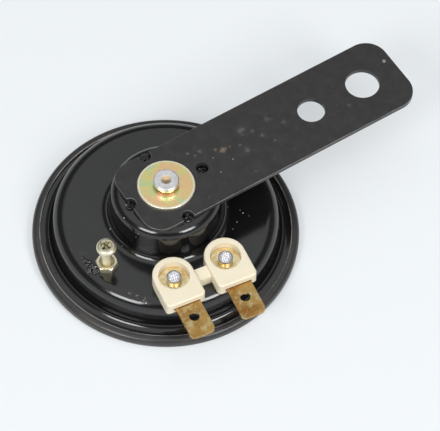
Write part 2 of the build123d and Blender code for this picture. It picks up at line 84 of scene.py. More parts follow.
class Space(Enum):
    """What a pattern's coordinates follow."""

    OBJECT = "Object"
    NORMAL = "Normal"


class Sum(Enum):
    """What a Math node does with its values."""

    ADD = "ADD"
    MULTIPLY = "MULTIPLY"
    ABSOLUTE = "ABSOLUTE"


class ShaderTree:
    """A material's node tree around one Principled BSDF, with short calls for the usual nodes."""

    def __init__(self, name: str) -> None:
        """Makes the material.

        Args:
            name: the material's name.
        """
        self.material = bpy.data.materials.new(name)
        self.material.use_nodes = True
        self.tree = self.material.node_tree
        self.shader = self.tree.nodes["Principled BSDF"]
        self.coordinates = self.tree.nodes.new("ShaderNodeTexCoord")

    def feed(self, socket: Socket, value: Tint | float) -> None:
        """Gives a socket a pattern, a colour or a number.

        Args:
            socket: the socket to feed.
            value: what it gets.
        """
        if isinstance(value, Socket):
            self.tree.links.new(value, socket)
        elif socket.type == "RGBA":
            socket.default_value = (*value, 1.0)
        else:
            socket.default_value = value

    def fill(self, node: bpy.types.Node, **inputs: Tint | float) -> bpy.types.Node:
        """Feeds a node's sockets by name, with underscores for the spaces in their names."""
        for name, value in inputs.items():
            self.feed(node.inputs[name.replace("_", " ")], value)
        return node

    def node(self, kind: str, **inputs: Tint | float) -> bpy.types.Node:
        """Adds a node and feeds its sockets."""
        return self.fill(self.tree.nodes.new(kind), **inputs)

    def space(self, kind: Space = Space.OBJECT, scale: Triple = EVEN, centre: Vector | None = None,
              turn: float = 0.0) -> Socket:
        """Coordinates for a pattern, shifted, turned and stretched.

        Args:
            kind: the coordinates to read.
            scale: the stretch along each axis.
            centre: the point that the pattern is centred on, in metres.
            turn: the pattern's turn about the upright axis, in degrees.

        Returns:
            The vector socket.
        """
        angle = math.radians(turn)
        mapping = self.node("ShaderNodeMapping", Vector=self.coordinates.outputs[kind.value],
                            Scale=scale, Rotation=(0.0, 0.0, angle))
        if centre is not None:
            shift = Vector([-c * s for c, s in zip(centre, scale)])
            shift.rotate(Matrix.Rotation(angle, 3, "Z"))
            self.fill(mapping, Location=tuple(shift))
        return mapping.outputs["Vector"]

    def upright(self, vector: Socket) -> Socket:
        """The Z component of a vector."""
        return self.node("ShaderNodeSeparateXYZ", Vector=vector).outputs["Z"]

    def length(self, vector: Socket) -> Socket:
        """Length of a vector.

        Args:
            vector: the vector's socket.

        Returns:
            The length's socket.
        """
        node = self.tree.nodes.new("ShaderNodeVectorMath")
        node.operation = "LENGTH"
        self.feed(node.inputs[0], vector)
        return node.outputs["Value"]

    def calculate(self, operation: Sum, first: Socket, second: Socket | float = 0.0,
                  clamp: bool = True) -> Socket:
        """A sum or product of two values, or the size of one.

        Args:
            operation: what is done with them.
            first: the first value.
            second: the second value.
            clamp: whether the result is held between 0 and 1.

        Returns:
            The result's socket.
        """
        node = self.tree.nodes.new("ShaderNodeMath")
        node.operation = operation.value
        node.use_clamp = clamp
        self.feed(node.inputs[0], first)
        self.feed(node.inputs[1], second)
        return node.outputs[0]

    def product(self, first: Socket, second: Socket | float) -> Socket:
        """A product of two values."""
        return self.calculate(Sum.MULTIPLY, first, second)

    def between(self, value: Socket, low: float, high: float, start: float, end: float) -> Socket:
        """A value stretched so that low gives start and high gives end, and held at both."""
        node = self.node("ShaderNodeMapRange", Value=value, From_Min=low, From_Max=high, To_Min=start,
                         To_Max=end)
        return node.outputs["Result"]

    def mix(self, amount: Socket, first: Tint, second: Tint) -> Socket:
        """A blend of two colours.

        Args:
            amount: 0 for the first colour and 1 for the second.
            first: a colour or a colour socket.
            second: a colour or a colour socket.

        Returns:
            The colour socket.
        """
        node = self.tree.nodes.new("ShaderNodeMix")
        node.data_type = "RGBA"
        self.fill(node, Factor=amount)
        for socket, colour in zip((s for s in node.inputs if s.type == "RGBA"), (first, second)):
            self.feed(socket, colour)
        return next(s for s in node.outputs if s.type == "RGBA")

    def ramp(self, value: Socket, stops: Stops) -> Socket:
        """A colour read off a row of stops.

        Args:
            value: where to read it, from 0 to 1.
            stops: the colours and their places.

        Returns:
            The colour socket.
        """
        node = self.node("ShaderNodeValToRGB", Fac=value)
        elements = node.color_ramp.elements
        while len(elements) < len(stops):
            elements.new(0.5)
        for element, (place, colour) in zip(elements, stops):
            element.position = place
            element.color = (*colour, 1.0)
        return node.outputs["Color"]

    def seen_directly(self) -> Socket:
        """1 for rays from the camera, a reflection or a refraction, and 0 for scattered light."""
        path = self.node("ShaderNodeLightPath").outputs
        seen = self.calculate(Sum.ADD, path["Is Camera Ray"], path["Is Glossy Ray"])
        return self.calculate(Sum.ADD, seen, path["Is Transmission Ray"])


# ---- patterns


class Pattern:
    """Something that varies over a surface."""

    def read(self, tree: ShaderTree) -> Socket:
        """The pattern's value."""
        raise NotImplementedError


@dataclass(frozen=True)
class Grain(Pattern):
    """Cloudy noise from 0 to 1, with its scale in cycles per metre and its turn in degrees."""

    scale: float
    detail: float = 2.0
    roughness: float = 0.6
    distortion: float = 0.0
    stretch: Triple = EVEN
    turn: float = 0.0

    def read(self, tree: ShaderTree) -> Socket:
        """The noise."""
        place = tree.space(scale=self.stretch, turn=self.turn)
        node = tree.node("ShaderNodeTexNoise", Vector=place, Scale=self.scale, Detail=self.detail,
                         Roughness=self.roughness, Distortion=self.distortion)
        return node.outputs["Fac"]


@dataclass(frozen=True)
class Specks(Pattern):
    """Distance to the nearest of scattered points, in cells."""

    cells_per_metre: float

    def read(self, tree: ShaderTree) -> Socket:
        """The distance."""
        node = tree.node("ShaderNodeTexVoronoi", Vector=tree.space(), Scale=self.cells_per_metre)
        node.feature = "F1"
        return node.outputs["Distance"]


@dataclass(frozen=True)
class Turns(Pattern):
    """Soft ridges from 0 to 1, stacked upwards from a centre."""

    centre: Vector
    scale: float

    def read(self, tree: ShaderTree) -> Socket:
        """The ridges."""
        node = tree.node("ShaderNodeTexWave", Vector=tree.space(centre=self.centre), Scale=self.scale)
        node.bands_direction = "Z"
        return node.outputs["Fac"]


@dataclass(frozen=True)
class Reach(Pattern):
    """Distance in metres from an upright axis through a point."""

    point: Vector

    def read(self, tree: ShaderTree) -> Socket:
        """The distance."""
        return tree.length(tree.space(scale=FLAT, centre=self.point))


@dataclass(frozen=True)
class Height(Pattern):
    """Height in metres over a point, or over the horn's origin."""

    point: Vector | None = None

    def read(self, tree: ShaderTree) -> Socket:
        """The height."""
        return tree.upright(tree.space(centre=self.point))


@dataclass(frozen=True)
class Facing(Pattern):
    """How far the surface faces up, from -1 to 1, or up or down where both count."""

    both: bool = False

    def read(self, tree: ShaderTree) -> Socket:
        """The normal's height."""
        facing = tree.upright(tree.space(Space.NORMAL))
        return tree.calculate(Sum.ABSOLUTE, facing) if self.both else facing


@dataclass(frozen=True)
class Mask:
    """A pattern stretched so that low gives start and high gives end, and held at both."""

    pattern: Pattern
    low: float
    high: float
    start: float = 0.0
    end: float = 1.0

    def read(self, tree: ShaderTree) -> Socket:
        """The mask's value."""
        return tree.between(self.pattern.read(tree), self.low, self.high, self.start, self.end)


@dataclass(frozen=True)
class Spot:
    """A mask for a ragged spot that fades at its rim. Lengths are in metres and the turn in degrees.

    Noise eats into the spot by the ragged share of its radius, narrowing makes it narrower along
    each axis, and it is solid out to the solid share of its radius.
    """

    centre: Vector
    radius: float
    ragged: float
    narrowing: Triple = EVEN
    turn: float = 0.0
    solid: float = 0.6
    rags: float = 1.6

    def read(self, tree: ShaderTree) -> Socket:
        """The spot as a mask.

        Args:
            tree: the material's nodes.

        Returns:
            The socket of 1 inside the spot and 0 outside.
        """
        far = tree.length(tree.space(scale=self.narrowing, centre=self.centre, turn=self.turn))
        rag = Grain(self.rags / self.radius, 4.0, 0.75)
        eaten = Mask(rag, 0.3, 0.7, 0.0, self.ragged * self.radius).read(tree)
        edge = tree.calculate(Sum.ADD, far, eaten, clamp=False)
        return tree.between(edge, self.radius * self.solid, self.radius, 1.0, 0.0)


class Drift:
    """A colour that follows a row of stops as its mask goes from 0 to 1."""

    def __init__(self, stops: Stops, mask: Mask) -> None:
        """Keeps the stops and the mask."""
        self.stops = stops
        self.mask = mask

    def read(self, tree: ShaderTree) -> Socket:
        """The colour."""
        return tree.ramp(self.mask.read(tree), self.stops)


class Blend:
    """A colour with layers on it, from the lowest to the highest."""

    def __init__(self, base: Colour | Drift, *layers: "Layer") -> None:
        """Keeps the colour and its layers."""
        self.base = base
        self.layers = layers

    def read(self, tree: ShaderTree) -> Tint:
        """The blended colour."""
        return reduce(lambda tint, layer: layer.over(tree, tint), self.layers, tint_of(tree, self.base))


class Layer:
    """A colour that shows where all of its masks do, and no more than its strength."""

    def __init__(self, colour: Colour | Blend, *masks: Mask | Spot, strength: float = 1.0) -> None:
        """Keeps the colour, its masks and its strength."""
        self.colour = colour
        self.masks = masks
        self.strength = strength

    def over(self, tree: ShaderTree, tint: Tint) -> Socket:
        """A colour with this layer on it.

        Args:
            tree: the material's nodes.
            tint: the colour below.

        Returns:
            The colour socket.
        """
        amount = reduce(tree.product, [mask.read(tree) for mask in self.masks])
        if self.strength < 1.0:
            amount = tree.product(amount, self.strength)
        return tree.mix(amount, tint, tint_of(tree, self.colour))


def tint_of(tree: ShaderTree, colour: Colour | Drift | Blend) -> Tint:
    """A plain colour as it is, or the socket of one that varies."""
    return colour if isinstance(colour, tuple) else colour.read(tree)


class Relief:
    """Bumps of one depth in metres, only where all of its masks show."""

    def __init__(self, pattern: Pattern, depth: float, *masks: Mask) -> None:
        """Keeps the pattern, its depth and its masks."""
        self.pattern = pattern
        self.depth = depth
        self.masks = masks

    def over(self, tree: ShaderTree, below: Socket | None) -> Socket:
        """The normal of this relief on the one below it.

        Args:
            tree: the material's nodes.
            below: the normal below, if any.

        Returns:
            The normal's socket.
        """
        height = self.pattern.read(tree)
        if self.masks:
            height = tree.product(height, reduce(tree.product, [mask.read(tree) for mask in self.masks]))
        node = tree.node("ShaderNodeBump", Height=height, Distance=self.depth)
        if below is not None:
            tree.fill(node, Normal=below)
        return node.outputs["Normal"]


# ---- finishes


@dataclass(frozen=True)
class Finish:
    """One material: its colour, its roughness and the haze added to it, its reliefs and its metal.

    Extra holds the shader's other values, by socket name with underscores for spaces.
    """

    name: str
    colour: Blend
    rough: Mask | float
    reliefs: tuple[Relief, ...]
    haze: Mask | None = None
    metal: float = 1.0
    extra: dict[str, float | Triple] = field(default_factory=dict)

    def make(self) -> bpy.types.Material:
        """Builds the material.

        Returns:
            The material.
        """
        tree = ShaderTree(self.name)
        rough = self.rough.read(tree) if isinstance(self.rough, Mask) else self.rough
        if self.haze:
            rough = tree.calculate(Sum.ADD, rough, self.haze.read(tree))
        normal = reduce(lambda below, relief: relief.over(tree, below), self.reliefs, None)
        tree.fill(tree.shader, Base_Color=self.colour.read(tree), Roughness=rough, Normal=normal,
                  Metallic=self.metal, **self.extra)
        return tree.material


def enamel(name: str, colour: Colour, dust: float, clear: float, hazy: float, wear: tuple[Layer, ...],
           pools: tuple[Relief, ...] = (), ior: float = 1.5) -> Finish:
    """Baked enamel on steel, with orange peel, fine dust and a little haze.

    Args:
        name: the material's name.
        colour: the paint's colour.
        dust: the size of its specks of dust, as a share of a cell.
        clear: the roughness where it is clear.
        hazy: the roughness where it is hazy.
        wear: what use has left on the paint.
        pools: coarser relief over the peel.
        ior: the refractive index of the paint.

    Returns:
        The finish.
    """
    specks = Mask(Specks(760.0), dust, dust + 0.03, 1.0, 0.0)
    dusty_areas = Mask(Grain(160.0, 1.0, 0.5), 0.56, 0.64)
    dusty = Layer((0.2, 0.2, 0.21), specks, dusty_areas)
    gloss = Mask(Grain(90.0, 4.0), 0.3, 0.7, clear, hazy)
    peel = Relief(Grain(520.0, roughness=0.4), 0.012 * MM)
    return Finish(name, Blend(colour, dusty, *wear), gloss, (peel, *pools), metal=0.0, extra={"IOR": ior})


def ring_paint(axis: Vector) -> Finish:
    """The ring's satin paint, browned, with a light line along the crimp's inner edge that is partly
    rubbed-through paint and partly painted highlight.

    Args:
        axis: a point on the horn's axis.

    Returns:
        The finish.
    """
    crimp, blur, core, width = 30.5 * MM, 0.05 * MM, 0.156 * MM, 0.26 * MM
    inner = Mask(Reach(axis), crimp - blur, crimp + blur)
    outer = Mask(Reach(axis), crimp + core, crimp + width, 1.0, 0.0)
    upper = Mask(Facing(), 0.2, 0.5)
    broken = Mask(Grain(130.0, 5.0, 0.7), 0.34, 0.54, 0.15, 1.0)
    browned = Mask(Grain(120.0, 4.0), 0.45, 0.65, 0.0, 0.8)
    wear = (
        Layer((0.045, 0.04, 0.036), browned),
        # partly rubbed paint, partly painted highlight: a light grey line on the upward face along the
        # crimp's inner edge
        Layer((0.42, 0.41, 0.4), inner, outer, upper, broken),
    )
    return enamel("ring_paint", (0.03, 0.0295, 0.03), dust=0.02, clear=0.27, hazy=0.35, wear=wear)


# Smears of dried residue on the shell's edge, in metres.
RESIDUE_PLACES = (
    (-0.075, -0.0166, -0.0112),
    (-0.0739, -0.0183, -0.0114),
    (-0.0759, -0.0151, -0.0112),
)


def housing_paint() -> Finish:
    """The housing's glossy enamel, pooled on the locating pips and darkened there as painted shade,
    and scratched by the screw.

    Returns:
        The finish.
    """
    low, high, blur = -1.0 * MM, -0.2 * MM, 0.1 * MM
    pips = (Mask(Height(), low, low + blur), Mask(Height(), high, high + blur, 1.0, 0.0))
    pools = Relief(Grain(700.0, roughness=0.5), 1.6 * MM, *pips)
    turn = -35.0
    scratched = Spot(Vector((-0.0784, 0.0008, -0.011)), 3.6 * MM, ragged=0.5, narrowing=(1.0, 1.6, 1.0),
                     turn=turn)
    scratches = Mask(Grain(420.0, 3.0, 0.6, 0.5, stretch=(0.6, 5.0, 1.0), turn=turn), 0.52, 0.62)
    smears = [Spot(Vector(place), 1.0 * MM, ragged=1.1) for place in RESIDUE_PLACES]
    wear = (
        Layer((0.026, 0.026, 0.028), scratched, scratches),
        *(Layer((0.3, 0.29, 0.24), smear, strength=0.5) for smear in smears),
        # painted shade: the locating pips' band of height is darkened to near black
        Layer((0.001, 0.001, 0.001), *pips),
    )
    return enamel("housing_paint", (0.0065, 0.0063, 0.0068), dust=0.03, clear=0.125, hazy=0.165,
                  wear=wear, pools=(pools,), ior=1.6)


@dataclass(frozen=True)
class Scuff:
    """One scuff on the strip's face: its place, radius and strength. Lengths are in millimetres."""

    x: float
    y: float
    radius: float
    strength: float
    colour: Colour

    def layer(self) -> Layer:
        """The scuff as a layer of the paint."""
        spot = Spot(Vector((self.x * MM, self.y * MM, 0.0)), self.radius * MM, ragged=0.9)
        return Layer(self.colour, spot, strength=self.strength)


GREY: Colour = (0.15, 0.145, 0.14)
BROWN: Colour = (0.2, 0.145, 0.1)
SCUFFS = (
    Scuff(-39.4, 1.5, 1.7, 0.85, BROWN),
    Scuff(-40.9, 2.6, 1.0, 0.6, BROWN),
    Scuff(-47.2, 5.0, 1.0, 0.5, GREY),
    Scuff(-46.0, 3.7, 0.8, 0.5, GREY),
    Scuff(-44.4, 4.1, 1.1, 0.5, GREY),
    Scuff(-37.5, 1.4, 0.8, 0.5, GREY),
    Scuff(-35.2, 0.6, 1.0, 0.4, GREY),
    Scuff(-33.0, 4.0, 2.4, 0.45, GREY),
    Scuff(-34.5, -1.6, 1.6, 0.4, GREY),
    Scuff(-30.4, 2.4, 1.2, 0.4, GREY),
    Scuff(-22.6, 0.6, 1.3, 0.35, GREY),
    Scuff(-29.1, 0.2, 1.1, 0.45, GREY),
    Scuff(-27.3, -2.7, 0.8, 0.45, GREY),
    Scuff(-25.5, 3.4, 1.8, 0.3, GREY),
    Scuff(-57.0, 9.7, 1.2, 0.5, GREY),
    Scuff(-6.3, -3.6, 1.2, 0.35, GREY),
    Scuff(8.4, 2.9, 0.9, 0.7, BROWN),
)


def strip_paint() -> Finish:
    """Thin black paint on sheared sheet steel, scuffed on the face, with a light band on the rolled
    edge that is partly rubbed paint and partly painted highlight.

    Returns:
        The finish.
    """
    faded = Mask(Grain(330.0, 5.0, 0.7), 0.42, 0.66)
    pitted = Mask(Grain(1300.0, 3.0, 0.7), 0.66, 0.72, 0.0, 0.5)
    cut_wall = Mask(Facing(both=True), 0.05, 0.3, 1.0, 0.0)
    off_wall, off_face = Mask(Facing(), 0.2, 0.4), Mask(Facing(), 0.85, 0.97, 1.0, 0.0)
    broken = Mask(Grain(210.0, 4.0, 0.7), 0.35, 0.62, 0.1, 1.0)
    colour = Blend(
        (0.02, 0.019, 0.0195),
        Layer((0.031, 0.0285, 0.028), faded),
        Layer(GREY, pitted),
        *(scuff.layer() for scuff in SCUFFS),
        Layer((0.035, 0.034, 0.034), cut_wall),
        # partly rubbed paint, partly painted highlight: light grey on the rolled edge between wall and
        # face
        Layer((0.24, 0.235, 0.23), off_wall, off_face, broken),
    )
    gloss = Mask(Grain(110.0, 5.0, 0.65), 0.3, 0.7, 0.3, 0.4)
    skin = Relief(Grain(700.0, 4.0), 0.014 * MM)
    return Finish("strip_paint", colour, gloss, (skin,), metal=0.0, extra={"IOR": 1.5})


STRAW: Colour = (0.88, 0.74, 0.28)
ROSE: Colour = (1.0, 0.58, 0.34)
LEAF: Colour = (0.66, 0.76, 0.34)
SKY: Colour = (0.62, 0.75, 0.6)
YELLOW: Stops = ((0.0, SKY), (0.25, LEAF), (0.45, STRAW), (0.62, ROSE), (0.8, STRAW), (1.0, LEAF))
PALE: Stops = ((0.0, (0.66, 0.64, 0.47)), (0.5, (0.8, 0.74, 0.58)), (1.0, (0.6, 0.53, 0.34)))


def passivate(name: str, stops: Stops, scale: float, rim: Colour, detail: Layer) -> Finish:
    """Zinc passivate, whose colour drifts along a row of stops.

    Args:
        name: the material's name.
        stops: the colours that it drifts through.
        scale: the scale of the drift, in cycles per metre.
        rim: its colour on steep edges, a painted highlight.
        detail: what the piece has over the plating.

    Returns:
        The finish.
    """
    drift = Drift(stops, Mask(Grain(scale, 5.0, 0.62, 1.2), 0.28, 0.72))
    grain = Grain(2600.0, stretch=(1.0, 1.0, 2.0))
    paled = Layer((0.95, 0.93, 0.85), Mask(grain, 0.25, 0.75), strength=0.12)
    steep = Mask(Facing(), 0.5, 0.95, 1.0, 0.0)
    gloss = Mask(grain, 0.2, 0.8, 0.23, 0.38)
    # the rim colour on steep faces is a painted highlight
    return Finish(name, Blend(drift, paled, Layer(rim, steep), detail), gloss,
                  (Relief(grain, 0.006 * MM),), haze=replace(steep, start=0.18))


def yellow_zinc(axis: Vector) -> Finish:
    """The washer's passivate, with a painted highlight along its rolled edge.

    Args:
        axis: a point on the horn's axis.

    Returns:
        The finish.
    """
    radius = width_of("stud_washer") / 2
    # painted highlight: a pale ring just inside the washer's outer edge
    rolled = Mask(Reach(axis), radius - 0.6 * MM, radius - 0.4 * MM)
    return passivate("yellow_zinc", YELLOW, scale=200.0, rim=(0.95, 0.85, 0.45),
                     detail=Layer((1.0, 0.93, 0.74), rolled))


def pale_zinc() -> Finish:
    """The passivate of the screw and its nut, with grime round the driver's recess.

    Returns:
        The finish.
    """
    blots = Mask(Grain(1100.0, 3.0, 0.6, 0.8), 0.42, 0.54)
    head = Spot(top_of("adjusting_screw"), width_of("adjusting_screw") * 0.52, ragged=0.4)
    return passivate("pale_zinc", PALE, scale=420.0, rim=(0.86, 0.8, 0.6),
                     detail=Layer((0.22, 0.2, 0.1), blots, head))


def top_of(node: str) -> Vector:
    """The middle of a node's box at its highest level."""
    low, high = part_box(node)
    return Vector(((low.x + high.x) / 2, (low.y + high.y) / 2, high.z))


def width_of(node: str) -> float:
    """A node's width along x."""
    low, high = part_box(node)
    return high.x - low.x


def steel(name: str, colour: Colour, stain: Colour, rough: float = 0.3) -> Finish:
    """Bare, oiled or plated steel with fine tool marks and faint stains.

    Args:
        name: the material's name.
        colour: the steel's colour.
        stain: the stains' colour.
        rough: its middling roughness.

    Returns:
        The finish.
    """
    stained = Mask(Grain(240.0, 4.0), 0.45, 0.7)
    marks = Grain(1500.0, stretch=(1.0, 1.0, 3.0))
    gloss = Mask(marks, 0.2, 0.8, rough - 0.06, rough + 0.1)
    return Finish(name, Blend(colour, Layer(stain, stained)), gloss, (Relief(marks, 0.006 * MM),))


def stud_plating(axis: Vector) -> Finish:
    """The core's steel, plated above the strip: silver on the head, gold in its dimple and on its neck.

    Args:
        axis: a point on the horn's axis.

    Returns:
        The finish.
    """
    silver, gold, bare = (0.93, 0.93, 0.95), (0.85, 0.58, 0.3), (0.4, 0.39, 0.37)
    clouded = Mask(Grain(900.0, 4.0), 0.4, 0.65)
    dimple = Mask(Reach(axis), 0.98 * MM, 1.4 * MM, 0.85, 0.0)
    neck = Mask(Height(), 1.05 * MM, 1.25 * MM, 1.0, 0.0)
    inside = Mask(Height(), -0.1 * MM, 0.0, 1.0, 0.0)
    colour = Blend(silver, Layer((0.76, 0.75, 0.73), clouded), Layer(gold, dimple), Layer(gold, neck),
                   Layer(bare, inside))
    marks = Grain(1500.0)
    gloss = Mask(marks, 0.2, 0.8, 0.26, 0.42)
    return Finish("stud_plating", colour, gloss, (Relief(marks, 0.008 * MM),))


def tinned_rivet() -> Finish:
    """Brass rivet with a tinned top.

    Returns:
        The finish.
    """
    dulled = Mask(Grain(1100.0, 3.0), 0.4, 0.65)
    tin = Blend((0.8, 0.8, 0.82), Layer((0.5, 0.5, 0.52), dulled))
    top = Layer(tin, Mask(Facing(), 0.25, 0.45))
    return Finish("tinned_rivet", Blend((0.84, 0.7, 0.42), top), replace(dulled, start=0.22, end=0.4),
                  (Relief(Grain(1800.0), 0.008 * MM),))


def terminal_brass(rivets: tuple[Vector, ...]) -> Finish:
    """Stamped brass with brown flux stains, pale rubbed patches, and a paler eye round each rivet that
    is painted light lifting the shade in the well.

    Args:
        rivets: a point on each rivet's axis.

    Returns:
        The finish.
    """
    stained = Mask(Grain(150.0, 4.0, 0.6, 0.8), 0.42, 0.62)
    rubbed = Mask(Grain(700.0, 5.0, 0.72), 0.5, 0.64)
    shaded = Mask(Grain(480.0, 3.0), 0.45, 0.65)
    # painted light: the pale eye brightens the shaded well round each rivet
    eye = Blend((0.95, 0.82, 0.52), Layer((0.74, 0.55, 0.25), shaded))
    near = [Mask(Reach(rivet), 3.7 * MM, 3.9 * MM, 1.0, 0.0) for rivet in rivets]
    colour = Blend((0.5, 0.31, 0.1), Layer((0.38, 0.18, 0.045), stained), Layer((0.6, 0.49, 0.25), rubbed),
                   *(Layer(eye, mask) for mask in near))
    gloss = replace(stained, start=0.28, end=0.43)
    marks = Relief(Grain(1400.0, stretch=(1.0, 3.0, 1.0)), 0.006 * MM)
    return Finish("terminal_brass", colour, gloss, (marks,))


def moulded(name: str, colour: Colour, mottle: Colour, rough: float = 0.42, glow: float = 0.0) -> Finish:
    """Moulded plastic with a faint flow mottle and a fine spark-eroded skin.

    Args:
        name: the material's name.
        colour: the plastic's colour.
        mottle: the colour that it flows into.
        rough: its middling roughness.
        glow: how much light soaks in.

    Returns:
        The finish.
    """
    mottled = Mask(Grain(130.0, 3.0, 0.5, 0.4), 0.35, 0.7)
    skin = Grain(2200.0, roughness=0.5)
    gloss = Mask(skin, 0.2, 0.8, rough - 0.04, rough + 0.08)
    extra = {"IOR": 1.46}
    if glow:
        extra.update(Subsurface_Weight=glow, Subsurface_Scale=0.6 * MM, Subsurface_Radius=(1.0, 0.8, 0.5))
    return Finish(name, Blend(colour, Layer(mottle, mottled)), gloss, (Relief(skin, 0.008 * MM),),
                  metal=0.0, extra=extra)


def board(name: str, colour: Colour, fibre: Colour) -> Finish:
    """Sheet insulation or gasket board, with layers and fibres.

    Args:
        name: the material's name.
        colour: the board's colour.
        fibre: the fibres' colour.

    Returns:
        The finish.
    """
    strands = Grain(900.0, 4.0, 0.7, stretch=(1.0, 5.0, 2.0))
    fibres = Layer(fibre, Mask(strands, 0.4, 0.7))
    return Finish(name, Blend(colour, fibres), 0.7, (Relief(strands, 0.03 * MM),), metal=0.0)


def copper_wire(centre: Vector) -> Finish:
    """Enamelled copper wire wound in close turns, shown by its ridges, with painted shade in the grooves.

    Args:
        centre: the middle of the coil.

    Returns:
        The finish.
    """
    turns = Turns(centre, 640.0)
    # painted shade: dark brown in the grooves between the turns
    wire = Layer((0.62, 0.24, 0.1), Mask(turns, 0.0, 0.35))
    return Finish("copper_wire", Blend((0.12, 0.04, 0.02), wire), 0.3, (Relief(turns, 0.12 * MM),),
                  metal=0.6, extra={"Coat_Weight": 0.6, "Coat_Roughness": 0.1})


def sealing_lacquer() -> Finish:
    """Thick black sealing lacquer, wet looking.

    Returns:
        The finish.
    """
    wave = Grain(800.0, 4.0)
    return Finish("sealing_lacquer", Blend((0.004, 0.004, 0.004)), Mask(wave, 0.3, 0.7, 0.04, 0.12),
                  (Relief(wave, 0.4 * MM),), metal=0.0, extra={"IOR": 1.9})


def tinned_knurl(valley: float, point: float) -> Finish:
    """Tinned cross-hatching: rougher valleys with painted shade, and points with painted highlight.

    Args:
        valley: the height where it is roughest and the painted shade darkest.
        point: the height where it is smoothest and the painted highlight brightest.

    Returns:
        The finish.
    """
    raised = Mask(Height(), valley, point)
    # painted shade in the valleys and painted highlight on the points of the hatching
    bright = Layer((0.95, 0.95, 0.98), raised)
    return Finish("tinned_knurl", Blend((0.4, 0.4, 0.44), bright), replace(raised, start=0.5, end=0.32),
                  (Relief(Grain(2400.0), 0.006 * MM),))


class Finishes:
    """The materials of the record's slots and of the special pieces, each made once."""

    def __init__(self, winding_centre: Vector, horn_axis: Vector, rivets: tuple[Vector, ...]) -> None:
        """Builds the materials.

        Args:
            winding_centre: the middle of the coil, which its turns are centred on.
            horn_axis: a point on the horn's axis.
            rivets: a point on each terminal rivet's axis.
        """
        finishes = (
            housing_paint(),
            ring_paint(horn_axis),
            strip_paint(),
            yellow_zinc(horn_axis),
            pale_zinc(),
            steel("bright_steel", (0.66, 0.66, 0.67), (0.5, 0.47, 0.4)),
            steel("magnet_steel", (0.4, 0.39, 0.37), (0.24, 0.2, 0.16), 0.42),
            steel("spring_steel", (0.52, 0.52, 0.53), (0.4, 0.37, 0.3), 0.24),
            stud_plating(horn_axis),
            tinned_rivet(),
            terminal_brass(rivets),
            moulded("cream_plastic", (0.86, 0.78, 0.6), (0.82, 0.74, 0.57), glow=0.12),
            moulded("nylon", (0.74, 0.72, 0.64), (0.66, 0.64, 0.56)),
            board("phenolic", (0.2, 0.09, 0.04), (0.33, 0.17, 0.08)),
            board("gasket_board", (0.03, 0.03, 0.03), (0.08, 0.075, 0.07)),
            copper_wire(winding_centre),
            sealing_lacquer(),
        )
        self.materials = {finish.name: finish.make() for finish in finishes}

    def of(self, name: str) -> bpy.types.Material:
        """The material of one name. A slot's material has the slot's name."""
        return self.materials[name]


# ---- camera and studio


@dataclass(frozen=True)
class Dab:
    """A small dab on a surface: the pixel of the camera's view that shows it, and its radius in metres."""

    px: float
    py: float
    radius: float


@dataclass(frozen=True)
class ViewCamera:
    """A long lens that looks down on the horn from the terminals' side.

    Angles are in degrees and lengths in metres. The camera is aimed by the pixel of its view in
    which the horn's axis meets the floor. Pixels count from the view's top left corner.
    """

    floor_point: Vector
    azimuth: float = -34.5
    elevation: float = 56.82
    roll: float = 2.09
    distance: float = 0.7
    pixels_per_radian: float = 2869.3
    view_width: float = 440.0
    view_height: float = 431.0
    axis_px: float = 165.8
    axis_py: float = 234.04
    sensor: float = 36.0
    nearest: float = 0.01
    farthest: float = 20.0

    def axes(self) -> tuple[Vector, Vector, Vector]:
        """The camera's right, up and forward directions in the horn's frame.

        Returns:
            The three directions, each of length 1.
        """
        elevation, roll = math.radians(self.elevation), math.radians(self.roll)
        turn = Matrix.Rotation(math.radians(self.azimuth), 3, "Z")
        forward = Vector((0.0, math.cos(elevation), -math.sin(elevation)))
        right = Vector((1.0, 0.0, 0.0))
        up = Vector((0.0, math.sin(elevation), math.cos(elevation)))
        rolled_right = right * math.cos(roll) + up * math.sin(roll)
        rolled_up = up * math.cos(roll) - right * math.sin(roll)
        return turn @ rolled_right, turn @ rolled_up, turn @ forward

    def ray(self, px: float, py: float) -> Vector:
        """Direction of the line of sight through a pixel.

        Args:
            px: pixels from the left.
            py: pixels from the top.

        Returns:
            The direction.
        """
        right, up, forward = self.axes()
        across = (px - self.view_width / 2) / self.pixels_per_radian
        down = (py - self.view_height / 2) / self.pixels_per_radian
        return forward + right * across - up * down

    def position(self) -> Vector:
        """Where the camera stands."""
        return self.floor_point - self.ray(self.axis_px, self.axis_py) * self.distance

    def hit(self, node: bpy.types.Object, dab: Dab) -> tuple[Vector, Vector]:
        """Where the line of sight through a dab meets a piece.

        Args:
            node: the piece.
            dab: the dab.

        Returns:
            The point and the surface's normal there.
        """
        sight = self.ray(dab.px, dab.py).normalized()
        found, point, normal, _ = node.ray_cast(self.position(), sight)
        if not found:
            raise ValueError(f"no surface of {node.name} at {dab}")
        return point, normal

    def make(self) -> None:
        """Adds the camera to the scene."""
        data = bpy.data.cameras.new("view_camera")
        data.sensor_width = self.sensor
        data.lens = self.pixels_per_radian / self.view_width * self.sensor
        data.clip_start, data.clip_end = self.nearest, self.farthest
        camera = bpy.data.objects.new("view_camera", data)
        right, up, forward = self.axes()
        turn = Matrix((right, up, -forward)).transposed().to_4x4()
        camera.matrix_world = Matrix.Translation(self.position()) @ turn
        bpy.context.scene.collection.objects.link(camera)
        bpy.context.scene.camera = camera


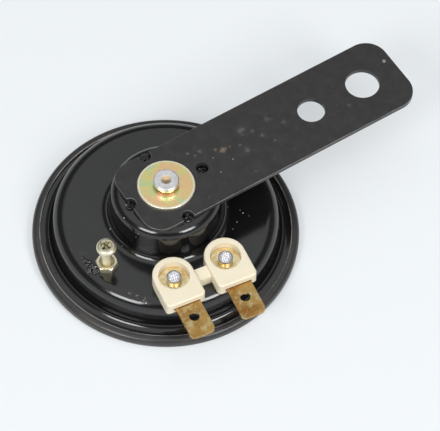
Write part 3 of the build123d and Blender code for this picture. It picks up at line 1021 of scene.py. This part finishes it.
@dataclass(frozen=True)
class Softbox:
    """One rectangular lamp aimed at the horn. Angles are in degrees and lengths in metres."""

    name: str
    azimuth: float
    width: float
    elevation: float
    height: float = 0.38
    distance: float = 1.1
    power: float = 5.5

    def make(self, target: Vector) -> None:
        """Adds the lamp, facing the target.

        Args:
            target: the point that it is aimed at.
        """
        data = bpy.data.lights.new(self.name, "AREA")
        data.shape = "RECTANGLE"
        data.size, data.size_y = self.width, self.height
        data.energy = self.power
        lamp = bpy.data.objects.new(self.name, data)
        azimuth, elevation = math.radians(self.azimuth), math.radians(self.elevation)
        level = math.cos(elevation)
        back = Vector((math.sin(azimuth) * level, -math.cos(azimuth) * level, math.sin(elevation)))
        lamp.location = target + back * self.distance
        lamp.rotation_euler = back.to_track_quat("Z", "Y").to_euler()
        bpy.context.scene.collection.objects.link(lamp)


def link_mesh(bm: bmesh.types.BMesh, name: str, material: bpy.types.Material) -> bpy.types.Object:
    """Turns a bmesh into a smooth-shaded object of one material.

    Args:
        bm: the finished shape, in the horn's frame. It is freed.
        name: the object's name.
        material: its finish.

    Returns:
        The object.
    """
    mesh = bpy.data.meshes.new(name)
    bm.to_mesh(mesh)
    bm.free()
    mesh.polygons.foreach_set("use_smooth", [True] * len(mesh.polygons))
    mesh.materials.append(material)
    made = bpy.data.objects.new(name, mesh)
    bpy.context.scene.collection.objects.link(made)
    return made


@dataclass(frozen=True)
class Studio:
    """A pale table in a tent with a dim belt and a bright crown, and two softboxes beside the camera.

    The tent's bands pair a level, from the floor's edge at 0 to the crown at 1, with the glow there.
    The gap keeps the table top just clear of the rim that stands on it.
    """

    centre: Vector
    floor_colour: Colour = (0.47, 0.487, 0.5)
    floor_roughness: float = 0.85
    floor_specular: float = 0.2
    floor_segments: int = 96
    background: Colour = (0.385, 0.4, 0.408)
    gap: float = 0.02 * MM
    tent_colour: Colour = (0.97, 0.99, 1.0)
    tent_radius: float = 3.0
    tent_segments: int = 64
    tent_rings: int = 48
    tent_hem: float = 0.01
    tent_strength: float = 1.02
    bands: tuple[tuple[float, float], ...] = (
        (0.0, 0.9), (0.12, 0.85), (0.26, 0.16), (0.72, 0.13), (0.82, 0.9), (1.0, 0.96),
    )
    boxes: tuple[Softbox, ...] = (
        Softbox("left_box", azimuth=-68.0, width=0.44, elevation=42.0),
        Softbox("right_box", azimuth=10.0, width=0.38, elevation=41.0),
    )

    def make(self) -> None:
        """Adds the floor, the tent and the lamps."""
        self.make_floor()
        self.make_tent()
        self.make_world()
        for box in self.boxes:
            box.make(self.centre)

    def make_floor(self) -> None:
        """Adds the table top under the rim, as wide as the tent."""
        bm = bmesh.new()
        bmesh.ops.create_circle(bm, cap_ends=True, segments=self.floor_segments, radius=self.tent_radius)
        tree = ShaderTree("table_top")
        tree.fill(tree.shader, Base_Color=self.floor_colour, Roughness=self.floor_roughness,
                  Specular_IOR_Level=self.floor_specular, Emission_Color=self.background,
                  Emission_Strength=tree.seen_directly())
        self.stand(bm, "table", tree.material)

    def make_tent(self) -> None:
        """Adds the dome, whose glow follows the height on it."""
        bm = bmesh.new()
        bmesh.ops.create_uvsphere(bm, u_segments=self.tent_segments, v_segments=self.tent_rings,
                                  radius=self.tent_radius)
        bmesh.ops.bisect_plane(
            bm,
            geom=bm.verts[:] + bm.edges[:] + bm.faces[:],
            plane_co=(0.0, 0.0, -self.tent_hem),
            plane_no=(0.0, 0.0, 1.0),
            clear_inner=True,
        )
        bmesh.ops.reverse_faces(bm, faces=bm.faces)
        tree = ShaderTree("tent_cloth")
        stops = tuple((place, tuple(glow * c for c in self.tent_colour)) for place, glow in self.bands)
        glow = Drift(stops, Mask(Height(self.centre), 0.0, self.tent_radius))
        tree.fill(tree.shader, Base_Color=BLACK, Roughness=1.0, Specular_IOR_Level=0.0,
                  Emission_Color=glow.read(tree), Emission_Strength=self.tent_strength)
        self.stand(bm, "tent", tree.material)

    def stand(self, bm: bmesh.types.BMesh, name: str, material: bpy.types.Material) -> None:
        """Puts a studio surface under and round the horn.

        Args:
            bm: the surface, round the origin. It is freed.
            name: its name.
            material: its finish.
        """
        base = Vector((self.centre.x, self.centre.y, self.centre.z - self.gap))
        bmesh.ops.translate(bm, verts=bm.verts, vec=base)
        surface = link_mesh(bm, name, material)

    def make_world(self) -> None:
        """Leaves the world outside the tent dark."""
        world = bpy.data.worlds.new("outside")
        world.use_nodes = True
        world.node_tree.nodes["Background"].inputs["Color"].default_value = (*BLACK, 1.0)
        bpy.context.scene.world = world


# ---- pieces


def finish_piece(bm: bmesh.types.BMesh, name: str, material: bpy.types.Material) -> None:
    """Turns a bmesh into a piece that rides on the horn.

    Args:
        bm: the finished shape, in the horn's frame. It is freed.
        name: the piece's name.
        material: its finish.
    """
    piece = link_mesh(bm, name, material)
    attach(piece, HORN_BODY)
    log.info("%s: %d faces", name, len(piece.data.polygons))


class Dressing:
    """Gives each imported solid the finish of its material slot, or a special one."""

    SPECIAL = {
        "adjusting_screw": "pale_zinc",
        "adjusting_lock_nut": "pale_zinc",
        "pole_core": "stud_plating",
        "terminal_rivet_left": "tinned_rivet",
        "terminal_rivet_right": "tinned_rivet",
    }

    def __init__(self, packed: dict, finishes: Finishes) -> None:
        """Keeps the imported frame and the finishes.

        Args:
            finishes: the materials.
        """
        self.nodes = packed["nodes"]
        self.slots = {row["node"]: row["material_slot"] for row in packed["record"]["subparts"]}
        self.finishes = finishes

    def dress(self) -> None:
        """Assigns the finishes."""
        for name, node in self.nodes.items():
            material = self.finishes.of(self.SPECIAL.get(name, self.slots[name]))
            if not node.material_slots:
                node.data.materials.append(material)
            for slot in node.material_slots:
                slot.material = material
            log.info("%s: %s", name, material.name)


@dataclass
class AdjusterDetails:
    """The screw's thread and the lacquer that seals the screw and its nut. Lengths are in metres.

    The thread runs from inside the nut to a little under the head. Its flanks and its crest are
    shares of the pitch, out from the middle of the ridge. Each drop of lacquer reads the noise that
    lumps it a seed's step on from the last one.
    """

    finishes: Finishes
    thread_radius: float = 1.22 * MM
    thread_depth: float = 0.22 * MM
    thread_pitch: float = 0.45 * MM
    thread_flank: float = 0.5
    thread_crest: float = 0.08
    thread_steps: int = 20
    depth_in_nut: float = 0.4 * MM
    head_depth: float = 1.6 * MM
    weld: float = 0.002 * MM
    squash: float = 0.85
    broad_lump: float = 0.7
    broad_scale: float = 1.9
    fine_lump: float = 0.3
    fine_scale: float = 4.5
    seed_step: Vector = Vector((2.3, 1.1, 0.0))
    seed_start: Vector = Vector((0.0, 0.0, 0.7))
    drops: tuple[Dab, ...] = (
        Dab(83.0, 258.0, 0.4 * MM),
        Dab(86.0, 261.0, 0.55 * MM),
        Dab(90.0, 262.0, 0.45 * MM),
        Dab(87.0, 266.0, 0.55 * MM),
        Dab(91.0, 267.0, 0.75 * MM),
        Dab(95.0, 268.0, 0.8 * MM),
        Dab(90.0, 271.0, 0.65 * MM),
        Dab(95.0, 272.0, 0.7 * MM),
        Dab(98.0, 271.0, 0.45 * MM),
    )

    def build(self, camera: ViewCamera, nodes: dict[str, bpy.types.Object]) -> None:
        """Builds both details.

        Args:
            camera: the view that the lacquer is placed by.
            nodes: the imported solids.
        """
        self.build_thread()
        self.build_lacquer(camera, nodes["rear_housing"])

    def build_thread(self) -> None:
        """Winds the thread round the bare stretch of the screw."""
        head, nut = top_of("adjusting_screw"), top_of("adjusting_lock_nut")
        base = nut.z - self.depth_in_nut
        turns = int((head.z - self.head_depth - base) / self.thread_pitch)
        root, crest_radius = self.thread_radius - self.thread_depth, self.thread_radius
        flank, crest = self.thread_pitch * self.thread_flank, self.thread_pitch * self.thread_crest
        corners = ((root, -flank), (crest_radius, -crest), (crest_radius, crest), (root, flank))
        bm = bmesh.new()
        profile = [bm.verts.new((radius, 0.0, height)) for radius, height in corners]
        edges = [bm.edges.new(pair) for pair in zip(profile, profile[1:])]
        bmesh.ops.spin(
            bm,
            geom=profile + edges,
            cent=(0.0, 0.0, 0.0),
            axis=(0.0, 0.0, 1.0),
            dvec=(0.0, 0.0, self.thread_pitch / self.thread_steps),
            angle=math.tau * turns,
            steps=self.thread_steps * turns,
        )
        bmesh.ops.remove_doubles(bm, verts=bm.verts, dist=self.weld)
        bmesh.ops.recalc_face_normals(bm, faces=bm.faces)
        bmesh.ops.translate(bm, verts=bm.verts, vec=Vector((head.x, head.y, base)))
        finish_piece(bm, "adjusting_screw_thread", self.finishes.of("pale_zinc"))

    def build_lacquer(self, camera: ViewCamera, housing: bpy.types.Object) -> None:
        """Drops a wrinkled cluster of lacquer on the housing beside the nut.

        Args:
            camera: the view that the drops are placed by.
            housing: the solid that they stick to.
        """
        bm = bmesh.new()
        for index, drop in enumerate(self.drops):
            point, _ = camera.hit(housing, drop)
            made = bmesh.ops.create_icosphere(bm, subdivisions=4, radius=1.0)
            for vert in made["verts"]:
                vert.co *= self.lump(vert.co.normalized(), index) * drop.radius
                vert.co.z *= self.squash
            bmesh.ops.translate(bm, verts=made["verts"], vec=point)
        finish_piece(bm, "sealing_lacquer", self.finishes.of("sealing_lacquer"))

    def lump(self, direction: Vector, index: int) -> float:
        """How far one drop bulges in a direction, as a share of its radius.

        Args:
            direction: a direction of length 1.
            index: the drop's number.

        Returns:
            The share.
        """
        shift = self.seed_step * index + self.seed_start
        broad = noise.noise(direction * self.broad_scale + shift)
        fine = noise.noise(direction * self.fine_scale + shift)
        return 1.0 + self.broad_lump * broad + self.fine_lump * fine


class Side(Enum):
    """The two terminals."""

    LEFT = "left"
    RIGHT = "right"


@dataclass
class RivetTops:
    """Cross-hatched tops that the press leaves on the two terminal rivets. Lengths are in metres.

    The hatching stands on a floor, a share of its depth, and fades out to the rim by the crown's
    power. The finish turns from rough with painted shade to smoother with painted highlight
    between the valley's and the point's shares of it.
    """

    radius: float = 1.75 * MM
    hatch_pitch: float = 0.57 * MM
    hatch_depth: float = 0.2 * MM
    hatch_power: float = 0.6
    hatch_floor: float = 0.25
    crown_power: int = 6
    valley: float = 0.3
    point: float = 0.85
    rim_depth: float = 0.4 * MM
    rings: int = 30
    steps: int = 72

    def build(self) -> None:
        """Builds the two tops."""
        for side in Side:
            top = top_of(f"terminal_rivet_{side.value}")
            valley, point = (top.z + self.hatch_depth * share for share in (self.valley, self.point))
            self.build_top(side, top, tinned_knurl(valley, point).make())

    def build_top(self, side: Side, top: Vector, knurl: bpy.types.Material) -> None:
        """Builds one top.

        Args:
            side: which terminal it belongs to.
            top: the middle of the rivet's head.
            knurl: the top's finish.
        """
        bm = bmesh.new()
        bmesh.ops.create_circle(bm, cap_ends=True, cap_tris=True, segments=self.steps,
                                radius=self.radius / self.rings)
        for ring in range(2, self.rings + 1):
            factor = ring / (ring - 1)
            bmesh.ops.scale(bm, vec=(factor, factor, 1.0), verts=self.grown_rim(bm))
        for vert in bm.verts:
            vert.co.z = self.hatching(vert.co)
        bmesh.ops.translate(bm, verts=self.grown_rim(bm), vec=Vector((0.0, 0.0, -self.rim_depth)))
        bmesh.ops.recalc_face_normals(bm, faces=bm.faces)
        bmesh.ops.translate(bm, verts=bm.verts, vec=top)
        finish_piece(bm, f"terminal_rivet_top_{side.value}", knurl)

    def grown_rim(self, bm: bmesh.types.BMesh) -> list[bmesh.types.BMVert]:
        """Extrudes the open rim in place and gives the new points."""
        grown = bmesh.ops.extrude_edge_only(bm, edges=[e for e in bm.edges if e.is_boundary])
        return [item for item in grown["geom"] if isinstance(item, bmesh.types.BMVert)]

    def hatching(self, place: Vector) -> float:
        """Height of the hatching over the rivet's head at one place.

        Args:
            place: a point, from the middle of the head.

        Returns:
            The height in metres.
        """
        across = math.sin(math.pi * (place.x + place.y) / self.hatch_pitch)
        along = math.sin(math.pi * (place.x - place.y) / self.hatch_pitch)
        crown = 1.0 - (place.xy.length / self.radius) ** self.crown_power
        return self.hatch_depth * crown * (abs(across * along) ** self.hatch_power + self.hatch_floor)


@dataclass
class PaintMarks:
    """Dust on the housing and chips on the strip, as thin uneven flakes on the paint."""

    flatness: float = 0.12
    unevenness: float = 0.5
    lump_scale: float = 2.0
    seed_step: Vector = Vector((3.7, 1.3, 0.0))
    dust: tuple[Dab, ...] = (
        Dab(124.0, 218.0, 0.15 * MM),
        Dab(110.0, 229.0, 0.14 * MM),
        Dab(136.0, 237.0, 0.12 * MM),
        Dab(243.0, 213.0, 0.16 * MM),
        Dab(237.0, 222.0, 0.12 * MM),
        Dab(146.0, 303.0, 0.17 * MM),
        Dab(228.0, 207.0, 0.09 * MM),
        Dab(240.0, 210.0, 0.1 * MM),
        Dab(249.0, 216.0, 0.08 * MM),
        Dab(233.0, 229.0, 0.09 * MM),
        Dab(122.0, 246.0, 0.09 * MM),
        Dab(140.0, 302.0, 0.1 * MM),
        Dab(116.0, 212.0, 0.09 * MM),
    )
    chips: tuple[Dab, ...] = (
        Dab(213.0, 158.0, 0.15 * MM),
        Dab(233.0, 159.0, 0.16 * MM),
        Dab(221.0, 172.0, 0.16 * MM),
        Dab(256.0, 171.0, 0.12 * MM),
        Dab(384.0, 61.0, 0.45 * MM),
    )

    def build(self, camera: ViewCamera, nodes: dict[str, bpy.types.Object]) -> None:
        """Builds one piece for each kind of mark.

        Args:
            camera: the view that the marks are placed by.
            nodes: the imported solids.
        """
        dust = moulded("dust", (0.5, 0.5, 0.5), (0.35, 0.35, 0.36), rough=0.9)
        chip = moulded("chipped_paint", (0.3, 0.27, 0.22), (0.14, 0.12, 0.1), rough=0.7)
        for name, node, finish, dabs in (
            ("paint_dust", "rear_housing", dust, self.dust),
            ("paint_chip", "mounting_bracket", chip, self.chips),
        ):
            bm = bmesh.new()
            for index, dab in enumerate(dabs):
                point, normal = camera.hit(nodes[node], dab)
                self.add_flake(bm, point, normal, dab.radius, self.seed_step * index)
            finish_piece(bm, name, finish.make())

    def add_flake(self, bm: bmesh.types.BMesh, point: Vector, normal: Vector, radius: float,
                  shift: Vector) -> None:
        """Adds one uneven flake, flat on the surface.

        Args:
            bm: the shape that it joins.
            point: where it lies.
            normal: the surface's normal there.
            radius: its radius in metres.
            shift: its own place in the noise.
        """
        made = bmesh.ops.create_icosphere(bm, subdivisions=3, radius=radius)
        for vert in made["verts"]:
            lump = noise.noise(vert.co.normalized() * self.lump_scale + shift)
            vert.co *= 1.0 + self.unevenness * lump
            vert.co.z *= self.flatness
        turn = normal.to_track_quat("Z", "Y").to_matrix().to_4x4()
        bmesh.ops.transform(bm, matrix=Matrix.Translation(point) @ turn, verts=made["verts"])


# ---- the scene


def main() -> None:
    """Dresses the horn, adds its details, and sets the studio and the camera."""
    logging.basicConfig(level=logging.INFO, format="%(name)s: %(message)s")
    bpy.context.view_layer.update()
    bpy.context.scene.view_settings.view_transform = "Standard"
    ring_low, ring_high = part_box("front_ring")
    floor_point = Vector(((ring_low.x + ring_high.x) / 2, 0.0, ring_low.z))
    camera = ViewCamera(floor_point)
    camera.make()
    Studio(floor_point).make()
    coil_low, coil_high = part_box("coil_winding")
    rivets = tuple(top_of(f"terminal_rivet_{side.value}") for side in Side)
    finishes = Finishes((coil_low + coil_high) / 2, floor_point, rivets)
    Dressing(frame, finishes).dress()
    AdjusterDetails(finishes).build(camera, frame["nodes"])
    RivetTops().build()
    PaintMarks().build(camera, frame["nodes"])


if __name__ == "__main__":
    main()
